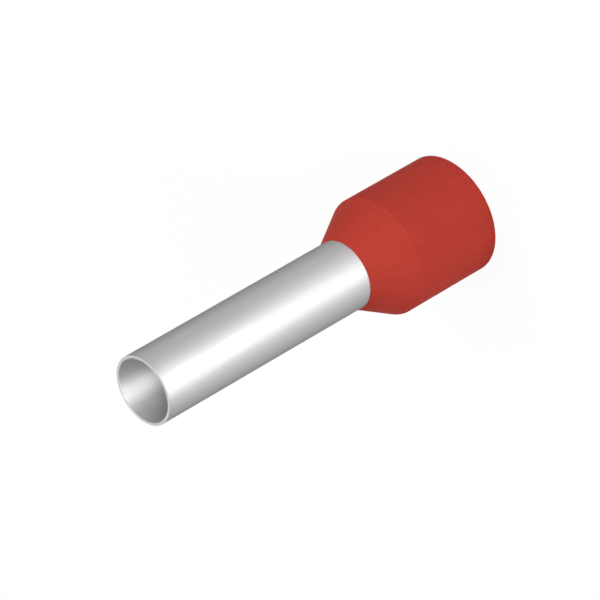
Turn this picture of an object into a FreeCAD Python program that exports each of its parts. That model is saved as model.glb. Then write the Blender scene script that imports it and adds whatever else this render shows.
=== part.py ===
import FreeCAD
import Part
import Sketcher
import math
import os

# Insulated wire ferrule for a 10 mm2 stranded conductor, 28 mm long.
# It has two pieces: a thin copper sleeve, drawn as a seamless tube and flared at its wire end,
# and a moulded plastic collar that grips the sleeve and covers the end of the wire's insulation.
# The frame has +Z along the common axis. Z = 0 is the collar's open rim, on which the ferrule
# can stand, and the sleeve's open tip is at the top. Sizes are in millimetres and degrees.

SIZES = {
    # sleeve
    "sleeve_bore": 4.5,       # inside diameter, which takes the bare strands
    "sleeve_wall": 0.2,       # thickness of the tube
    "sleeve_reach": 18.0,     # bare length that stands out of the collar
    "flare_length": 1.2,      # height of the flare at the wire end, measured outside
    "bend_radius": 1.0,       # outside radius between the tube and its flare
    "tip_break": 0.03,        # burr taken off both edges of the sheared tip
    # collar
    "collar_bore": 7.6,       # inside diameter, which takes the insulation
    "collar_wall": 0.4,       # thickness of the skirt
    "collar_length": 10.0,    # from the open rim to the lip at the sleeve
    "cone_angle": 29.5,       # slope of cone, funnel and flare, measured from the axis
    "collar_lip": 0.03,       # width of the ring where the cone runs out at the sleeve
    "neck_length": 0.75,      # straight grip on the sleeve, from the lip down to the flare
    "shoulder_round": 0.1,    # outside, between the skirt and the cone
    "rim_round": 0.1,         # both edges of the open rim
    "funnel_round": 0.3,      # inside, between the skirt and the funnel
}


def make_sheet(doc):
    """Keeps the driving dimensions as named cells of a spreadsheet."""
    sheet = doc.addObject("Spreadsheet::Sheet", "Sizes")
    for row, (alias, value) in enumerate(SIZES.items(), start=1):
        sheet.set(f"A{row}", alias.replace("_", " "))
        sheet.set(f"B{row}", str(value))
        sheet.setAlias(f"B{row}", alias)
    doc.recompute()
    return sheet


def section_corners(sheet):
    """Corners of the two wall sections as (radius, height), worked out from the sheet.

    The sketches start from them, and the rounded edges are found by them."""
    slope = math.radians(sheet.cone_angle)
    bore_radius = sheet.sleeve_bore / 2
    tube_radius = bore_radius + sheet.sleeve_wall
    skirt_inside = sheet.collar_bore / 2
    skirt_outside = skirt_inside + sheet.collar_wall
    lip_radius = tube_radius + sheet.collar_lip
    tip = sheet.collar_length + sheet.sleeve_reach
    bend = sheet.collar_length - sheet.neck_length

    flare_edge = FreeCAD.Vector(
        tube_radius + sheet.flare_length * math.tan(slope), bend - sheet.flare_length, 0
    )
    flare_inner_edge = flare_edge - sheet.sleeve_wall * FreeCAD.Vector(
        math.cos(slope), math.sin(slope), 0
    )
    bore_end = bend - sheet.sleeve_wall * math.tan(slope / 2)
    shoulder = sheet.collar_length - (skirt_outside - lip_radius) / math.tan(slope)
    funnel_mouth = flare_inner_edge.y - (skirt_inside - flare_inner_edge.x) / math.tan(slope)

    sleeve = {
        "tip_inside": (bore_radius, tip),
        "tip_outside": (tube_radius, tip),
        "bend_outside": (tube_radius, bend),
        "flare_edge": (flare_edge.x, flare_edge.y),
        "flare_inner_edge": (flare_inner_edge.x, flare_inner_edge.y),
        "bend_inside": (bore_radius, bore_end),
    }
    collar = {
        "rim_inside": (skirt_inside, 0.0),
        "rim_outside": (skirt_outside, 0.0),
        "shoulder": (skirt_outside, shoulder),
        "lip_outside": (lip_radius, sheet.collar_length),
        "lip_inside": (tube_radius, sheet.collar_length),
        "seat_bend": sleeve["bend_outside"],
        "seat_edge": sleeve["flare_edge"],
        "seat_step": sleeve["flare_inner_edge"],
        "funnel_mouth": (skirt_inside, funnel_mouth),
    }
    return sleeve, collar


class Section:
    """A closed sketch of straight walls on a body's XZ plane, revolved about its upright axis."""

    def __init__(self, body, name, corners):
        self.corners = list(corners)
        self.sketch = body.newObject("Sketcher::SketchObject", name)
        plane = next(f for f in body.Origin.OriginFeatures if f.Role == "XZ_Plane")
        self.sketch.AttachmentSupport = [(plane, "")]
        self.sketch.MapMode = "FlatFace"
        points = [FreeCAD.Vector(r, z, 0) for r, z in corners.values()]
        ends = points[1:] + points[:1]
        for start, end in zip(points, ends):
            self.sketch.addGeometry(Part.LineSegment(start, end), False)
        count = len(points)
        for side in range(count):
            self.tie("Coincident", side, 2, (side + 1) % count, 1)

    def side(self, corner):
        """Number of the wall that starts at the named corner."""
        return self.corners.index(corner)

    def tie(self, kind, *places):
        return self.sketch.addConstraint(Sketcher.Constraint(kind, *places))

    def level(self, *corners):
        for corner in corners:
            self.tie("Horizontal", self.side(corner))

    def upright(self, *corners):
        for corner in corners:
            self.tie("Vertical", self.side(corner))

    def parallel(self, first, second):
        self.tie("Parallel", self.side(first), self.side(second))

    def square(self, first, second):
        self.tie("Perpendicular", self.side(first), self.side(second))

    def bind(self, name, number, formula):
        """Names a dimension and binds it to cells of the sheet."""
        self.sketch.renameConstraint(number, name)
        self.sketch.setExpression(f"Constraints.{name}", formula)

    def radius(self, name, corner, formula):
        r = self.start(corner).x
        number = self.tie("DistanceX", -1, 1, self.side(corner), 1, r)
        self.bind(name, number, formula)

    def height(self, name, corner, formula):
        z = self.start(corner).y
        number = self.tie("DistanceY", -1, 1, self.side(corner), 1, z)
        self.bind(name, number, formula)

    def length(self, name, corner, formula):
        wall = self.sketch.Geometry[self.side(corner)]
        number = self.tie("Distance", self.side(corner), wall.length())
        self.bind(name, number, formula)

    def drop(self, name, corner, formula):
        """Height lost along the wall that starts at the named corner and runs downwards."""
        wall = self.sketch.Geometry[self.side(corner)]
        fall = wall.StartPoint.y - wall.EndPoint.y
        number = self.tie("DistanceY", self.side(corner), 2, self.side(corner), 1, fall)
        self.bind(name, number, formula)

    def slope(self, name, corner, formula):
        """Direction of the wall that starts at the named corner, in degrees from level."""
        wall = self.sketch.Geometry[self.side(corner)]
        run = wall.EndPoint - wall.StartPoint
        number = self.tie("Angle", self.side(corner), math.atan2(run.y, run.x))
        self.bind(name, number, formula)

    def start(self, corner):
        return self.sketch.Geometry[self.side(corner)].StartPoint

    def revolve(self, body, name):
        turned = body.newObject("PartDesign::Revolution", name)
        turned.Profile = self.sketch
        turned.ReferenceAxis = (self.sketch, ["V_Axis"])
        turned.Angle = 360
        self.sketch.Visibility = False
        return turned


def ring_names(feature, *corners):
    """Names of the feature's circular edges that pass through the given (radius, height) corners."""
    names = []
    for number, edge in enumerate(feature.Shape.Edges, start=1):
        if not isinstance(edge.Curve, Part.Circle):
            continue
        for r, z in corners:
            gap = math.hypot(edge.Curve.Radius - r, edge.Curve.Center.z - z)
            if gap < 0.001:
                names.append(f"Edge{number}")
    if len(names) != len(corners):
        raise RuntimeError(f"{feature.Label}: found edges {names} for corners {corners}")
    return names


def round_rings(body, name, base, formula, *corners):
    """Rounds the circular edges at the given corners, with a radius bound to the sheet."""
    body.Document.recompute()
    rounding = body.newObject("PartDesign::Fillet", name)
    rounding.Base = (base, ring_names(base, *corners))
    rounding.setExpression("Radius", formula)
    return rounding


def chamfer_rings(body, name, base, formula, *corners):
    """Breaks the circular edges at the given corners, with a size bound to the sheet."""
    body.Document.recompute()
    breaking = body.newObject("PartDesign::Chamfer", name)
    breaking.Base = (base, ring_names(base, *corners))
    breaking.setExpression("Size", formula)
    return breaking


def make_sleeve(doc, corners):
    """Seamless tube with a sheared tip, bent out into a funnel where the wire goes in."""
    body = doc.addObject("PartDesign::Body", "SleeveBody")
    body.Label = "sleeve"
    wall = Section(body, "SleeveSection", corners)
    wall.level("tip_inside")
    wall.upright("tip_outside", "bend_inside")
    wall.parallel("bend_outside", "flare_inner_edge")
    wall.square("bend_outside", "flare_edge")
    wall.radius("bore_radius", "tip_inside", "Sizes.sleeve_bore / 2")
    wall.height("tip_height", "tip_inside", "Sizes.collar_length + Sizes.sleeve_reach")
    wall.length("tip_wall", "tip_inside", "Sizes.sleeve_wall")
    wall.length("tube_length", "tip_outside", "Sizes.sleeve_reach + Sizes.neck_length")
    wall.slope("flare_slope", "bend_outside", "Sizes.cone_angle - 90")
    wall.drop("flare_length", "bend_outside", "Sizes.flare_length")
    wall.length("flare_wall", "flare_edge", "Sizes.sleeve_wall")
    tube = wall.revolve(body, "FlaredTube")

    outer_bend = round_rings(
        body, "OuterBend", tube, "Sizes.bend_radius", corners["bend_outside"]
    )
    inner_bend = round_rings(
        body, "InnerBend", outer_bend, "Sizes.bend_radius + Sizes.sleeve_wall", corners["bend_inside"]
    )
    chamfer_rings(
        body,
        "TipBreak",
        inner_bend,
        "min(Sizes.tip_break; Sizes.sleeve_wall / 4)",
        corners["tip_inside"],
        corners["tip_outside"],
    )
    return body


def make_collar(doc, corners):
    """Moulded skirt and cone, with a funnel that leads into the sleeve and a seat for its flare."""
    body = doc.addObject("PartDesign::Body", "CollarBody")
    body.Label = "collar"
    wall = Section(body, "CollarSection", corners)
    wall.level("rim_inside", "lip_outside")
    wall.upright("rim_outside", "lip_inside", "funnel_mouth")
    wall.parallel("shoulder", "seat_bend")
    wall.square("seat_bend", "seat_edge")
    wall.parallel("seat_bend", "seat_step")
    wall.radius("skirt_bore_radius", "rim_inside", "Sizes.collar_bore / 2")
    wall.height("rim_height", "rim_inside", "0")
    wall.length("skirt_wall", "rim_inside", "Sizes.collar_wall")
    wall.slope("cone_slope", "shoulder", "90 + Sizes.cone_angle")
    wall.length("lip_width", "lip_outside", "Sizes.collar_lip")
    wall.radius("neck_radius", "lip_inside", "Sizes.sleeve_bore / 2 + Sizes.sleeve_wall")
    wall.height("lip_height", "lip_inside", "Sizes.collar_length")
    wall.length("neck_length", "lip_inside", "Sizes.neck_length")
    wall.drop("seat_length", "seat_bend", "Sizes.flare_length")
    wall.length("seat_step", "seat_edge", "Sizes.sleeve_wall")
    shell = wall.revolve(body, "MouldedShell")

    seat_bend = round_rings(
        body, "SeatBend", shell, "Sizes.bend_radius", corners["seat_bend"]
    )
    shoulder = round_rings(
        body, "ShoulderRound", seat_bend, "Sizes.shoulder_round", corners["shoulder"]
    )
    funnel = round_rings(
        body, "FunnelRound", shoulder, "Sizes.funnel_round", corners["funnel_mouth"]
    )
    round_rings(
        body,
        "RimRound",
        funnel,
        "min(Sizes.rim_round; Sizes.collar_wall / 3)",
        corners["rim_inside"],
        corners["rim_outside"],
    )
    return body


def check(doc, bodies):
    """Stops before anything is written if a feature failed or a piece is not one valid solid."""
    failed = [o.Label for o in doc.Objects if {"Invalid", "Error"} & set(o.State)]
    if failed:
        raise RuntimeError(f"failed to recompute: {failed}")
    for body in bodies:
        shape = body.Shape
        if shape.isNull() or not shape.isValid() or len(shape.Solids) != 1:
            raise RuntimeError(f"{body.Label} is not one valid solid")


def main():
    doc = FreeCAD.newDocument("WireFerrule")
    sheet = make_sheet(doc)
    sleeve_corners, collar_corners = section_corners(sheet)
    bodies = [make_sleeve(doc, sleeve_corners), make_collar(doc, collar_corners)]
    doc.recompute()
    check(doc, bodies)
    os.makedirs("parts", exist_ok=True)
    for body in bodies:
        body.Shape.exportStep(f"parts/{body.Label}.step")
        print(f"{body.Label}: {body.Shape.Volume:.3f} mm3")


main()
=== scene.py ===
import bmesh
import bpy
import math
from mathutils import Matrix, Vector


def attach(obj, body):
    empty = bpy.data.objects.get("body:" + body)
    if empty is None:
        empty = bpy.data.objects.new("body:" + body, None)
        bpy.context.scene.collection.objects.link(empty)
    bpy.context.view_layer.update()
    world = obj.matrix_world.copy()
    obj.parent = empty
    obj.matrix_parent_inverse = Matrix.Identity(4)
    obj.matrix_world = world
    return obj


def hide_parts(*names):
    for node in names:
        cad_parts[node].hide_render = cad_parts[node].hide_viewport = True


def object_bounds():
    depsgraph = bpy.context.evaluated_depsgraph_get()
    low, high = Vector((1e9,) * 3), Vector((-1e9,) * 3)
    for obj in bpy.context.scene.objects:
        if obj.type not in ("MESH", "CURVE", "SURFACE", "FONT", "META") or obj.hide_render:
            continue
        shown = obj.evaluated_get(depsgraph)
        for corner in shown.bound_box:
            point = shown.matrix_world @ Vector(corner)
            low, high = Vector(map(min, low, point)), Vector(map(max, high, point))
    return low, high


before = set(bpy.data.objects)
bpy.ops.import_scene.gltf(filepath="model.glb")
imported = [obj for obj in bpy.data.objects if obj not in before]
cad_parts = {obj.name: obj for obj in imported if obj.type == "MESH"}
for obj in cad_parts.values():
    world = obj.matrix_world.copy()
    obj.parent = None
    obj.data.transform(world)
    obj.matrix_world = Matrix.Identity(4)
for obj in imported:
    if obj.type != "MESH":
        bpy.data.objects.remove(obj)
cadLow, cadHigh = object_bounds()
mm = 0.001
samePoint = 0.001 * mm  # points closer than this are one
smoothAngle = math.radians(40)  # edges that turn more than this stay sharp
print("frame loaded with", ", ".join(sorted(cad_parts)))


# helpers for pieces that are round about the upright axis, where a corner is (radius, height)

def startRing(name, corner, steps):
    bpy.ops.object.select_all(action="DESELECT")
    bpy.ops.mesh.primitive_circle_add(vertices=steps, radius=corner.x, location=(0, 0, corner.y))
    piece = bpy.context.active_object
    piece.name = name
    piece.data.name = name
    bpy.ops.object.transform_apply(location=True, rotation=False, scale=False)
    bpy.ops.object.mode_set(mode="EDIT")
    bpy.ops.mesh.select_all(action="SELECT")
    return piece


def pullWall(start, end, rings):
    for ring in range(rings):
        before = start.lerp(end, ring / rings)
        after = start.lerp(end, (ring + 1) / rings)
        growth = after.x / before.x
        bpy.ops.mesh.extrude_edges_move(TRANSFORM_OT_translate={"value": (0, 0, after.y - before.y)})
        bpy.ops.transform.resize(value=(growth, growth, 1), center_override=(0, 0, 0))


def closeWall():  # joins the last ring to the first and turns every face outwards
    bpy.ops.mesh.select_all(action="DESELECT")
    bpy.ops.mesh.select_non_manifold()
    bpy.ops.mesh.bridge_edge_loops()
    bpy.ops.mesh.select_all(action="SELECT")
    bpy.ops.mesh.remove_doubles(threshold=samePoint)
    bpy.ops.mesh.normals_make_consistent(inside=False)


def roundRing(piece, corner, offset, segments):
    bpy.ops.mesh.select_all(action="DESELECT")
    mesh = bmesh.from_edit_mesh(piece.data)
    for edge in mesh.edges:
        ends = [Vector((v.co.xy.length, v.co.z)) for v in edge.verts]
        if all((end - corner).length < samePoint for end in ends):
            edge.select_set(True)
    bmesh.update_edit_mesh(piece.data)
    bpy.ops.mesh.bevel(offset=offset, segments=segments, affect="EDGES", clamp_overlap=False)


def finishPiece(piece, *materials):
    bpy.ops.object.mode_set(mode="OBJECT")
    bpy.ops.object.shade_smooth_by_angle(angle=smoothAngle)
    bpy.ops.object.modifier_add(type="WEIGHTED_NORMAL")
    piece.modifiers[-1].keep_sharp = True
    bpy.ops.object.modifier_apply(modifier=piece.modifiers[-1].name)
    for material in materials:
        piece.data.materials.append(material)
    print(piece.name, "has", len(piece.data.polygons), "faces")


# materials

noiseDetail = {"Broad": 2, "Fine": 3}
grainRange = (0.3, 0.7)  # noise values that stand for the glossiest and the dullest spots


def grainGroup():
    group = bpy.data.node_groups.new("surfaceGrain", "ShaderNodeTree")
    face = group.interface
    face.new_socket("Position", in_out="INPUT", socket_type="NodeSocketVector")
    for name in noiseDetail:
        face.new_socket(name + " Scale", in_out="INPUT", socket_type="NodeSocketFloat")
    for name in noiseDetail:
        face.new_socket(name, in_out="OUTPUT", socket_type="NodeSocketFloat")
    nodes, links = group.nodes, group.links
    entry = nodes.new("NodeGroupInput")
    leave = nodes.new("NodeGroupOutput")
    for name, detail in noiseDetail.items():
        noise = nodes.new("ShaderNodeTexNoise")
        noise.inputs["Detail"].default_value = detail
        links.new(entry.outputs["Position"], noise.inputs["Vector"])
        links.new(entry.outputs[name + " Scale"], noise.inputs["Scale"])
        links.new(noise.outputs["Fac"], leave.inputs[name])
    return group


# the broad grain mixes the two tones, and the fine grain moves the roughness and the bump
def grainedMaterial(name, look, group):
    material = bpy.data.materials.new(name)
    material.use_nodes = True
    nodes, links = material.node_tree.nodes, material.node_tree.links
    shader = nodes["Principled BSDF"]
    shader.inputs["Metallic"].default_value = look["metallic"]
    shader.inputs["Specular IOR Level"].default_value = look["specular"]
    # Specular Tint colours a metal's edges; the tin's black edge tint paints shade on the tube's sides
    shader.inputs["Specular Tint"].default_value = (*look["edgeTint"], 1)
    place = nodes.new("ShaderNodeTexCoord")
    stretch = nodes.new("ShaderNodeMapping")
    stretch.inputs["Scale"].default_value = look["stretch"]
    grain = nodes.new("ShaderNodeGroup")
    grain.node_tree = group
    grain.inputs["Broad Scale"].default_value = look["broadScale"]
    grain.inputs["Fine Scale"].default_value = look["fineScale"]
    tone = nodes.new("ShaderNodeMix")
    tone.data_type = "RGBA"
    tone.inputs["A"].default_value = (*look["darkTone"], 1)
    tone.inputs["B"].default_value = (*look["lightTone"], 1)
    gloss = nodes.new("ShaderNodeMapRange")
    gloss.inputs["From Min"].default_value = grainRange[0]
    gloss.inputs["From Max"].default_value = grainRange[1]
    gloss.inputs["To Min"].default_value = look["roughness"][0]
    gloss.inputs["To Max"].default_value = look["roughness"][1]
    bump = nodes.new("ShaderNodeBump")
    bump.inputs["Distance"].default_value = look["bumpDepth"]
    links.new(place.outputs["Object"], stretch.inputs["Vector"])
    links.new(stretch.outputs["Vector"], grain.inputs["Position"])
    links.new(grain.outputs["Broad"], tone.inputs["Factor"])
    links.new(tone.outputs["Result"], shader.inputs["Base Color"])
    links.new(grain.outputs["Fine"], gloss.inputs["Value"])
    links.new(gloss.outputs["Result"], shader.inputs["Roughness"])
    links.new(grain.outputs["Fine"], bump.inputs["Height"])
    links.new(bump.outputs["Normal"], shader.inputs["Normal"])
    return material


tinLook = {
    "metallic": 1.0,
    "specular": 0.5,
    "edgeTint": (0.0, 0.0, 0.0),  # black edge tint: painted shade on the tube's sides, which keeps them from turning white
    "darkTone": (0.48, 0.48, 0.48),
    "lightTone": (0.535, 0.535, 0.535),
    "roughness": (0.50, 0.60),
    "stretch": (1000, 1000, 30),  # long fine streaks, as the tube was drawn
    "broadScale": 2.5,
    "fineScale": 12.0,
    "bumpDepth": 0.001 * mm,
}
dullTinLook = {  # inside the tube
    **tinLook,
    "metallic": 0.3,
    "edgeTint": (1.0, 1.0, 1.0),
    "darkTone": (0.49, 0.49, 0.49),
    "lightTone": (0.54, 0.54, 0.54),
    "roughness": (0.65, 0.75),
}
plasticLook = {
    "metallic": 0.0,
    "specular": 0.008,  # hardly any gloss
    "edgeTint": (1.0, 1.0, 1.0),
    "darkTone": (0.442, 0.046, 0.032),
    "lightTone": (0.501, 0.054, 0.038),
    "roughness": (0.55, 0.65),
    "stretch": (1000, 1000, 1000),
    "broadScale": 0.5,
    "fineScale": 7.0,
    "bumpDepth": 0.025 * mm,
}
surfaceGrain = grainGroup()
tin = grainedMaterial("tinPlate", tinLook, surfaceGrain)
dullTin = grainedMaterial("dullTin", dullTinLook, surfaceGrain)
plastic = grainedMaterial("redPlastic", plasticLook, surfaceGrain)
print("materials mixed")


# sleeve

sleeveSizes = {
    "boreRadius": 2.25 * mm,
    "wall": 0.2 * mm,
    "tip": 28.0 * mm,  # height of the cut end
    "bend": 9.25 * mm,  # height where the flare starts
    "flareDrop": 1.2 * mm,
    "slope": math.radians(29.5),  # of the flare, and of the collar's cone and funnel
    "bendRadius": 1.0 * mm,  # on the outside
    "tipBreak": 0.01 * mm,  # the tip's edges are nearly sharp
    "steps": 192,
    "tubeRings": 19,
    "flareRings": 2,
    "bendSegments": 8,
    "tipSegments": 3,
}


def makeSleeve(size):
    slope, wall, bore = size["slope"], size["wall"], size["boreRadius"]
    outer = bore + wall
    half = math.tan(slope / 2)
    tipOutside = Vector((outer, size["tip"]))
    bendOutside = Vector((outer, size["bend"]))
    flareEdge = bendOutside + Vector((math.tan(slope), -1)) * size["flareDrop"]
    flareInside = flareEdge - Vector((math.cos(slope), math.sin(slope))) * wall
    bendInside = Vector((bore, size["bend"] - wall * half))
    tipInside = Vector((bore, size["tip"]))
    piece = startRing("sleeveBody", tipOutside, size["steps"])
    pullWall(tipOutside, bendOutside, size["tubeRings"])
    pullWall(bendOutside, flareEdge, size["flareRings"])
    pullWall(flareEdge, flareInside, 1)
    pullWall(flareInside, bendInside, size["flareRings"])
    pullWall(bendInside, tipInside, size["tubeRings"])
    closeWall()
    roundRing(piece, bendOutside, size["bendRadius"] * half, size["bendSegments"])
    roundRing(piece, bendInside, (size["bendRadius"] + wall) * half, size["bendSegments"])
    roundRing(piece, tipOutside, size["tipBreak"], size["tipSegments"])
    roundRing(piece, tipInside, size["tipBreak"], size["tipSegments"])
    finishPiece(piece, tin, dullTin)
    dullSlot = piece.data.materials.find("dullTin")
    for face in piece.data.polygons:
        inwards = face.normal.xy.dot(face.center.xy) < 0
        if inwards and face.center.xy.length < bore + wall / 2 and face.center.z > bendInside.y:
            face.material_index = dullSlot
    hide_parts("sleeve")
    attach(piece, "root")


makeSleeve(sleeveSizes)


# collar

collarSizes = {
    "boreRadius": 3.8 * mm,
    "wall": 0.4 * mm,
    "length": 10.0 * mm,
    "lip": 0.03 * mm,  # flat edge of the cone, round the sleeve
    "rimRound": 0.03 * mm,
    "shoulderRound": 0.1 * mm,
    "funnelRound": 0.3 * mm,
    "steps": 192,
    "skirtRings": 6,
    "coneRings": 4,
    "seatRings": 2,
    "funnelRings": 2,
    "cornerSegments": 4,
    "rimSegments": 5,
}


def makeCollar(size, sleeve):
    slope = sleeve["slope"]
    half = math.tan(slope / 2)
    neck = sleeve["boreRadius"] + sleeve["wall"]
    inside = size["boreRadius"]
    outside = inside + size["wall"]
    lipOutside = Vector((neck + size["lip"], size["length"]))
    lipInside = Vector((neck, size["length"]))
    shoulder = Vector((outside, size["length"] - (outside - lipOutside.x) / math.tan(slope)))
    rimOutside = Vector((outside, 0))
    rimInside = Vector((inside, 0))
    # the seat follows the flare, and the funnel carries on from the flare's inside
    seatBend = Vector((neck, sleeve["bend"]))
    seatEdge = seatBend + Vector((math.tan(slope), -1)) * sleeve["flareDrop"]
    seatStep = seatEdge - Vector((math.cos(slope), math.sin(slope))) * sleeve["wall"]
    funnelMouth = Vector((inside, seatStep.y - (inside - seatStep.x) / math.tan(slope)))
    piece = startRing("collarBody", rimOutside, size["steps"])
    pullWall(rimOutside, shoulder, size["skirtRings"])
    pullWall(shoulder, lipOutside, size["coneRings"])
    pullWall(lipOutside, lipInside, 1)
    pullWall(lipInside, seatBend, 1)
    pullWall(seatBend, seatEdge, size["seatRings"])
    pullWall(seatEdge, seatStep, 1)
    pullWall(seatStep, funnelMouth, size["funnelRings"])
    pullWall(funnelMouth, rimInside, size["skirtRings"])
    closeWall()
    roundRing(piece, shoulder, size["shoulderRound"] * half, size["cornerSegments"])
    roundRing(piece, seatBend, sleeve["bendRadius"] * half, sleeve["bendSegments"])
    roundRing(piece, funnelMouth, size["funnelRound"] * half, size["cornerSegments"])
    roundRing(piece, rimOutside, size["rimRound"], size["rimSegments"])
    roundRing(piece, rimInside, size["rimRound"], size["rimSegments"])
    finishPiece(piece, plastic)
    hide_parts("collar")
    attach(piece, "root")


makeCollar(collarSizes, sleeveSizes)


# floor, which the camera and polished surfaces see white, except under the collar

floorLook = {
    "size": 6.0,
    "colour": (1.0, 1.0, 1.0),
    "whiteShare": 0.92,  # the rest is paint, and shows the shadow
    "underCollar": collarSizes["boreRadius"] + collarSizes["wall"] / 2,
}


def mathNode(nodes, operation, second=None):
    node = nodes.new("ShaderNodeMath")
    node.operation = operation
    if second is not None:
        node.inputs[1].default_value = second
    return node


def paleFloor(look):
    bpy.ops.object.select_all(action="DESELECT")
    bpy.ops.mesh.primitive_plane_add(size=look["size"], location=(0, 0, 0))
    floor = bpy.context.active_object
    floor.name = "floor"
    paper = bpy.data.materials.new("palePaper")
    paper.use_nodes = True
    nodes, links = paper.node_tree.nodes, paper.node_tree.links
    nodes.clear()
    paint = nodes.new("ShaderNodeBsdfDiffuse")
    paint.inputs["Color"].default_value = (*look["colour"], 1)
    white = nodes.new("ShaderNodeEmission")
    path = nodes.new("ShaderNodeLightPath")
    seen = mathNode(nodes, "ADD")
    seenThrough = mathNode(nodes, "ADD")
    share = mathNode(nodes, "MULTIPLY", look["whiteShare"])
    share.use_clamp = True
    place = nodes.new("ShaderNodeTexCoord")
    reach = nodes.new("ShaderNodeVectorMath")
    reach.operation = "LENGTH"
    outside = mathNode(nodes, "GREATER_THAN", look["underCollar"])
    openFloor = mathNode(nodes, "MULTIPLY")
    blend = nodes.new("ShaderNodeMixShader")
    output = nodes.new("ShaderNodeOutputMaterial")
    links.new(path.outputs["Is Camera Ray"], seen.inputs[0])
    links.new(path.outputs["Is Glossy Ray"], seen.inputs[1])
    links.new(seen.outputs[0], seenThrough.inputs[0])
    links.new(path.outputs["Is Transmission Ray"], seenThrough.inputs[1])
    links.new(seenThrough.outputs[0], share.inputs[0])
    links.new(place.outputs["Object"], reach.inputs[0])
    links.new(reach.outputs["Value"], outside.inputs[0])
    links.new(share.outputs[0], openFloor.inputs[0])
    links.new(outside.outputs[0], openFloor.inputs[1])
    links.new(openFloor.outputs[0], blend.inputs[0])
    links.new(paint.outputs[0], blend.inputs[1])
    links.new(white.outputs[0], blend.inputs[2])
    links.new(blend.outputs[0], output.inputs["Surface"])
    floor.data.materials.append(paper)


paleFloor(floorLook)
print("floor laid")


# lights, with angles in degrees and azimuth 0 in front; where "matt" is False, only gloss shows the lamp

lampSetup = {
    "key": {
        "azimuth": 75, "elevation": 78, "distance": 0.6,
        "size": (0.25, 0.25), "power": 2.05, "matt": True,
    },
    "fill": {
        "azimuth": -15, "elevation": 35, "distance": 0.6,
        "size": (0.25, 0.25), "power": 1.78, "matt": True,
    },
    "back": {
        "azimuth": 180, "elevation": 15, "distance": 0.3,
        "size": (0.34, 0.12), "power": 0.3, "matt": True,
    },
    "rimGlow": {
        "azimuth": 180, "elevation": 38, "distance": 0.3,
        "size": (0.34, 0.22), "power": 0.3, "matt": False,
    },
}
# the cards face up and show as the bright band on the tube; those that overlap lie at different heights,
# because lamps that overlap in one plane lose light
cardSetup = {
    "farCard": {
        "place": (-24 * mm, -66 * mm, 0.2 * mm),
        "size": (60 * mm, 60 * mm), "power": 0.063, "matt": False,
    },
    "middleCard": {
        "place": (0, -28 * mm, 0.4 * mm),
        "size": (36 * mm, 36 * mm), "power": 0.0026, "matt": False,
    },
    "nearCard": {
        "place": (-4.5 * mm, -15.5 * mm, 0.6 * mm),
        "size": (12 * mm, 12 * mm), "power": 0.00096, "matt": False,
    },
    "backCard": {
        "place": (6 * mm, 42 * mm, 0.2 * mm),
        "size": (30 * mm, 40 * mm), "power": 0.011, "matt": False,
    },
}
# the spots shine in at the tip and make the bore's highlight
spotSetup = {
    "boreStreak": {"elevation": 45, "wallAngle": 81, "depth": 0.3 * mm, "stretch": (0.5, 1.6), "power": 2.7},
    "boreWash": {"elevation": 35, "wallAngle": 88, "depth": 0.6 * mm, "stretch": (1.2, 2.6), "power": 0.64},
}
spotLens = {"distance": 210 * mm, "spread": math.radians(1), "blend": 1.0, "radius": 0.5 * mm}
worldLook = {"colour": (1.0, 1.0, 1.0), "level": 0.16}


def headingFrom(azimuth, elevation):
    turned, raised = math.radians(azimuth), math.radians(elevation)
    flat = math.cos(raised)
    return Vector((math.sin(turned) * flat, -math.cos(turned) * flat, math.sin(raised)))


def addLamp(kind, name, place, direction, power):
    bpy.ops.object.light_add(type=kind, location=place)
    lamp = bpy.context.active_object
    lamp.name = name
    lamp.data.energy = power
    lamp.rotation_euler = direction.to_track_quat("-Z", "Y").to_euler()
    lamp.visible_camera = False
    return lamp


def addPanel(name, place, direction, setup):
    lamp = addLamp("AREA", name, place, direction, setup["power"])
    lamp.data.shape = "RECTANGLE"
    lamp.data.size, lamp.data.size_y = setup["size"]
    lamp.visible_diffuse = setup["matt"]


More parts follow.
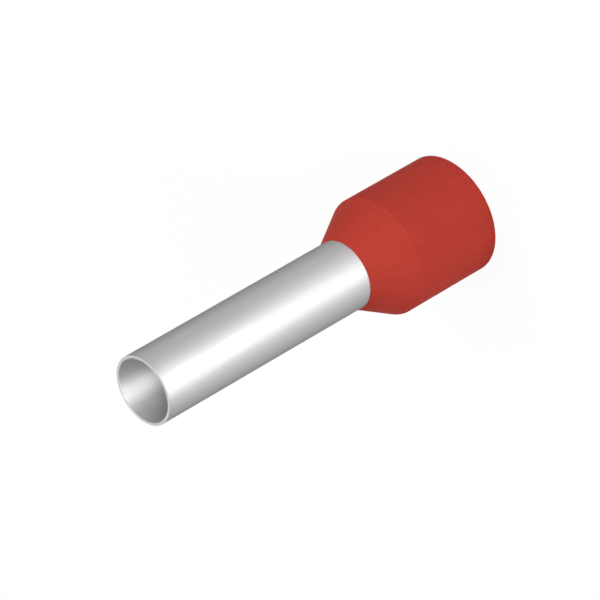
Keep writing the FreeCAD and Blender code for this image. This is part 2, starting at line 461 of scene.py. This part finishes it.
def addBoreSpot(name, setup, lens, sleeve):
    angle, bore = math.radians(setup["wallAngle"]), sleeve["boreRadius"]
    aim = Vector((math.cos(angle) * bore, math.sin(angle) * bore, sleeve["tip"] - setup["depth"]))
    heading = headingFrom(0, setup["elevation"])
    lamp = addLamp("SPOT", name, aim + heading * lens["distance"], -heading, setup["power"])
    lamp.data.spot_size = lens["spread"]
    lamp.data.spot_blend = lens["blend"]
    lamp.data.shadow_soft_size = lens["radius"]
    lamp.scale = (*setup["stretch"], 1)


middle = (cadLow + cadHigh) / 2
for name, setup in lampSetup.items():
    place = middle + headingFrom(setup["azimuth"], setup["elevation"]) * setup["distance"]
    addPanel(name, place, middle - place, setup)
for name, setup in cardSetup.items():
    addPanel(name, Vector(setup["place"]), Vector((0, 0, 1)), setup)
for name, setup in spotSetup.items():
    addBoreSpot(name, setup, spotLens, sleeveSizes)

world = bpy.data.worlds.new("studio")
bpy.context.scene.world = world
world.use_nodes = True
world.node_tree.nodes["Background"].inputs["Color"].default_value = (*worldLook["colour"], 1)
world.node_tree.nodes["Background"].inputs["Strength"].default_value = worldLook["level"]
print("lights set")


# camera, placed so that the centre of the sleeve's tip shows at tipPixel

view = {
    "tilt": math.radians(54.7356),  # off the ferrule's axis
    "roll": math.radians(-120),  # about the line of sight
    "focal": 4958.5,  # in pixels, as frame and tipPixel are
    "frame": 600,
    "distance": 312.54 * mm,  # to the tip, along the line of sight
    "tipPixel": (143.075, 390.757),
    "sensorWidth": 36,
    "clipStart": 10 * mm,
}
turn = Matrix.Rotation(view["tilt"], 3, "X") @ Matrix.Rotation(view["roll"], 3, "Z")
across = (view["tipPixel"][0] - view["frame"] / 2) / view["focal"]
down = (view["tipPixel"][1] - view["frame"] / 2) / view["focal"]
tipCentre = Vector((0, 0, sleeveSizes["tip"]))
bpy.ops.object.camera_add()
camera = bpy.context.active_object
camera.matrix_world = turn.to_4x4()
camera.location = tipCentre - turn @ Vector((across, -down, -1)) * view["distance"]
camera.data.sensor_width = view["sensorWidth"]
camera.data.lens = view["focal"] * view["sensorWidth"] / view["frame"]
camera.data.clip_start = view["clipStart"]
bpy.context.scene.camera = camera
bpy.context.scene.view_settings.view_transform = "Standard"
print("camera set")
